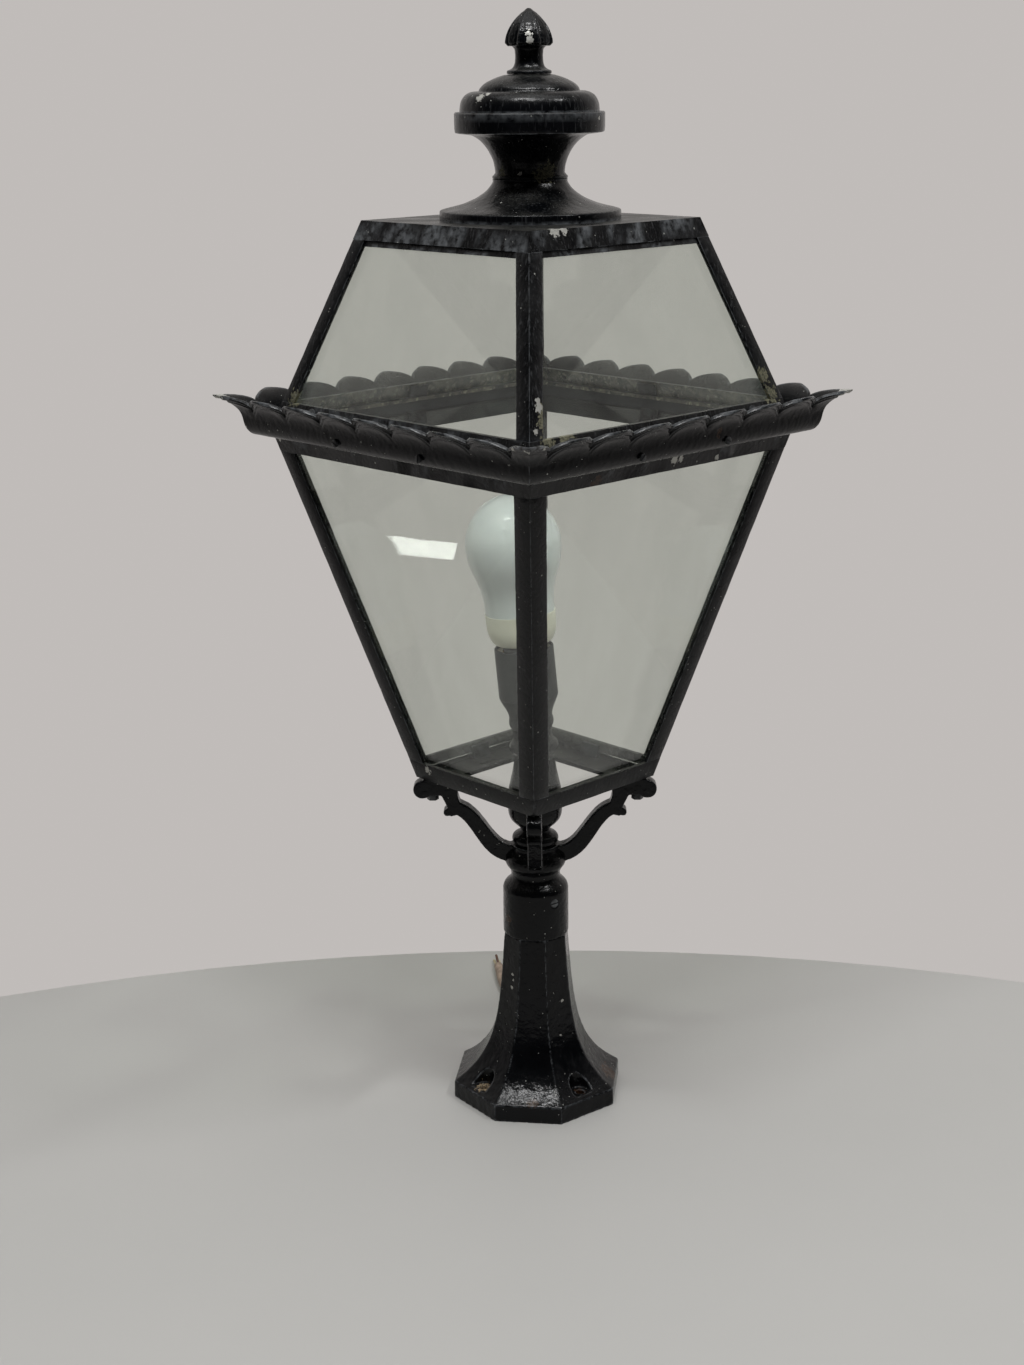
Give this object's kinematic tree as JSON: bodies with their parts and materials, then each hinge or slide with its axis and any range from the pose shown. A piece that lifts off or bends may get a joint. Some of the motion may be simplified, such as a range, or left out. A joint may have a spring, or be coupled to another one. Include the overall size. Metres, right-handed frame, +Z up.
{
  "type": "pedestal street lantern",
  "caption": "Four-sided glazed street lantern with leaf-crested gallery, hinged roof and turned finial, on a four-armed bracket and flared octagonal pedestal.",
  "frame": {"origin": "on the lantern's axis, at the underside of the foot", "axes": "+Z up; the lantern's four sides face +X, +Y, -X and -Y, and the roof hinge is on the -X side"},
  "size_m": [0.3303, 0.3008, 0.7504],
  "materials": {
    "black_paint": "thick weathered gloss paint over cast aluminium",
    "glass": "clear float glass",
    "steel": "zinc-plated, partly painted",
    "rubber": "matte",
    "sheath": "aged PVC sheath",
    "core_insulation": "aged PVC insulation",
    "holder_plastic": "moulded, satin",
    "ceramic": "glazed porcelain",
    "brass": "rolled brass",
    "bulb_glass": "frosted inside",
    "bulb_plastic": "moulded, satin",
    "phosphor": "phosphor-coated glass"
  },
  "bodies": {
    "pedestal": {"pedestal_column": "black_paint", "cable_grommet": "rubber", "supply_cord": "sheath", "cord_cores": "core_insulation", "lead_lower": "sheath"},
    "head": {"head_bracket": "black_paint", "collar_screws": "steel", "arm_bolts": "steel", "arm_nuts": "steel", "stem_tube": "steel", "stem_ring": "black_paint", "stem_cup": "black_paint", "stem_vase": "black_paint", "stem_knob": "black_paint", "holder_nipple": "steel", "lead_upper": "sheath", "lampholder_cap": "holder_plastic", "lampholder_skirt": "holder_plastic", "lampholder_insert": "ceramic", "thread_shell": "brass", "centre_contact": "brass", "bottom_ring": "black_paint", "lower_post_ne": "black_paint", "lower_post_nw": "black_paint", "lower_post_sw": "black_paint", "lower_post_se": "black_paint", "top_ring": "black_paint", "lower_glass_east": "glass", "lower_glass_north": "glass", "lower_glass_west": "glass", "lower_glass_south": "glass", "lower_glass_clips": "black_paint", "gallery_east": "black_paint", "gallery_north": "black_paint", "gallery_west": "black_paint", "gallery_south": "black_paint", "gallery_screws": "steel", "hinge_fixed_leaves": "steel", "hinge_pins": "steel"},
    "roof": {"hinge_moving_leaves": "steel", "roof_ring": "black_paint", "roof_post_ne": "black_paint", "roof_post_nw": "black_paint", "roof_post_sw": "black_paint", "roof_post_se": "black_paint", "roof_glass_east": "glass", "roof_glass_north": "glass", "roof_glass_west": "glass", "roof_glass_south": "glass", "roof_clips_and_screws": "steel", "roof_cap": "black_paint", "finial_foot": "black_paint", "finial_cup": "black_paint", "finial_lid": "black_paint", "acorn_finial": "black_paint", "tie_rod": "steel"},
    "bulb": {"bulb_glass": "bulb_glass", "bulb_housing": "bulb_plastic", "bulb_cap": "steel", "discharge_tube": "phosphor"}
  },
  "joints": [
    {"name": "head_turn", "type": "hinge", "parent": "pedestal", "child": "head", "pos_m": [0, 0, 0.14], "axis": [0, 0, 1], "range_deg": [-180, 180]},
    {"name": "roof_open", "type": "hinge", "parent": "head", "child": "roof", "pos_m": [-0.127, 0, 0.4946], "axis": [0, -1, 0], "range_deg": [0, 85]},
    {"name": "bulb_turn", "type": "hinge", "parent": "head", "child": "bulb", "pos_m": [0, 0, 0.257], "axis": [-0.0629, -0.0629, 0.996], "range_deg": [0, 720]}
  ]
}
